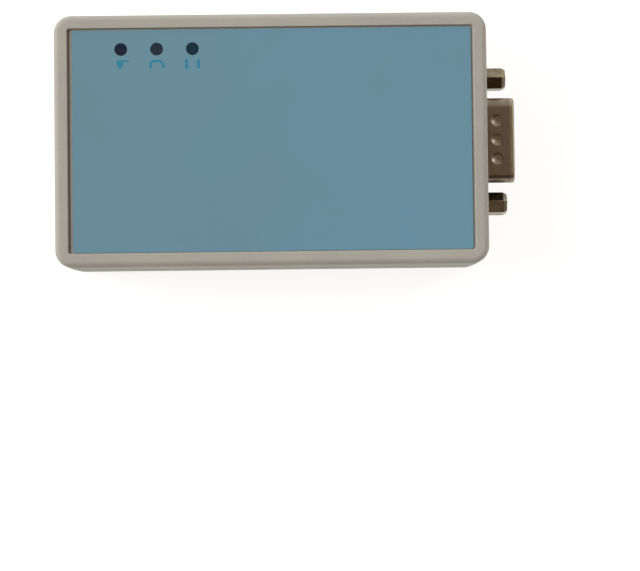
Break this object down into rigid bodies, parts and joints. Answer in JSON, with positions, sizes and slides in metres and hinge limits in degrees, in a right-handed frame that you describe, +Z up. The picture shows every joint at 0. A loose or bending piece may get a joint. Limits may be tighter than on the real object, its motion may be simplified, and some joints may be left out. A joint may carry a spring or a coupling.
{
  "type": "usb to serial adapter module",
  "caption": "Two-part plastic box with a recessed label and lamps, a USB type B socket at one end and a nine-pin D plug with jackscrews at the other.",
  "frame": {"origin": "centre of the flat bottom face of the case", "axes": "+X towards the serial connector, +Y across the case towards the side with the lamps, +Z up through the label"},
  "size_m": [0.0907, 0.0496, 0.021],
  "materials": {
    "case_plastic": "fine moulded texture, beige grey",
    "label_film": "satin printed film, blue grey",
    "connector_steel": "tin plated drawn steel",
    "jackscrew_metal": "nickel plated, turned and milled",
    "bracket_steel": "tin plated stamping",
    "black_insulator": "glass filled moulding",
    "white_insulator": "glass filled moulding",
    "gold_contact": "gold flash on contact ends",
    "board_laminate": "solder mask over copper",
    "chip_mould": "epoxy mould compound",
    "tinned_lead": "tinned",
    "screw_steel": "zinc plated",
    "can_aluminium": "satin can",
    "red_lens": "tinted clear epoxy, unlit",
    "green_lens": "tinted clear epoxy, unlit",
    "capacitor_ceramic": "fired ceramic with tinned ends",
    "resistor_ceramic": "glazed film on ceramic with tinned ends",
    "ferrite": "ferrite with tinned ends",
    "fuse_body": "polymer with tinned ends"
  },
  "bodies": {
    "root": {"bottom_case": "case_plastic", "top_cover": "case_plastic", "label": "label_film", "case_screws": "screw_steel", "circuit_board": "board_laminate", "board_screws": "screw_steel", "serial_shell": "connector_steel", "serial_insulator": "black_insulator", "serial_pins": "gold_contact", "serial_brackets": "bracket_steel", "jackscrew_nuts": "bracket_steel", "jackscrews": "jackscrew_metal", "usb_shell": "connector_steel", "usb_insulator": "white_insulator", "usb_contacts": "gold_contact", "led_power": "red_lens", "led_transmit": "red_lens", "led_receive": "green_lens", "led_leads": "tinned_lead", "usb_bridge_chip": "chip_mould", "usb_bridge_leads": "tinned_lead", "line_driver_chip": "chip_mould", "line_driver_leads": "tinned_lead", "memory_chip": "chip_mould", "memory_leads": "tinned_lead", "voltage_regulator": "chip_mould", "regulator_leads": "tinned_lead", "crystal": "can_aluminium", "capacitor_base": "black_insulator", "capacitor_can": "can_aluminium", "ceramic_capacitors": "capacitor_ceramic", "chip_resistors": "resistor_ceramic", "ferrite_bead": "ferrite", "resettable_fuse": "fuse_body"}
  },
  "joints": []
}
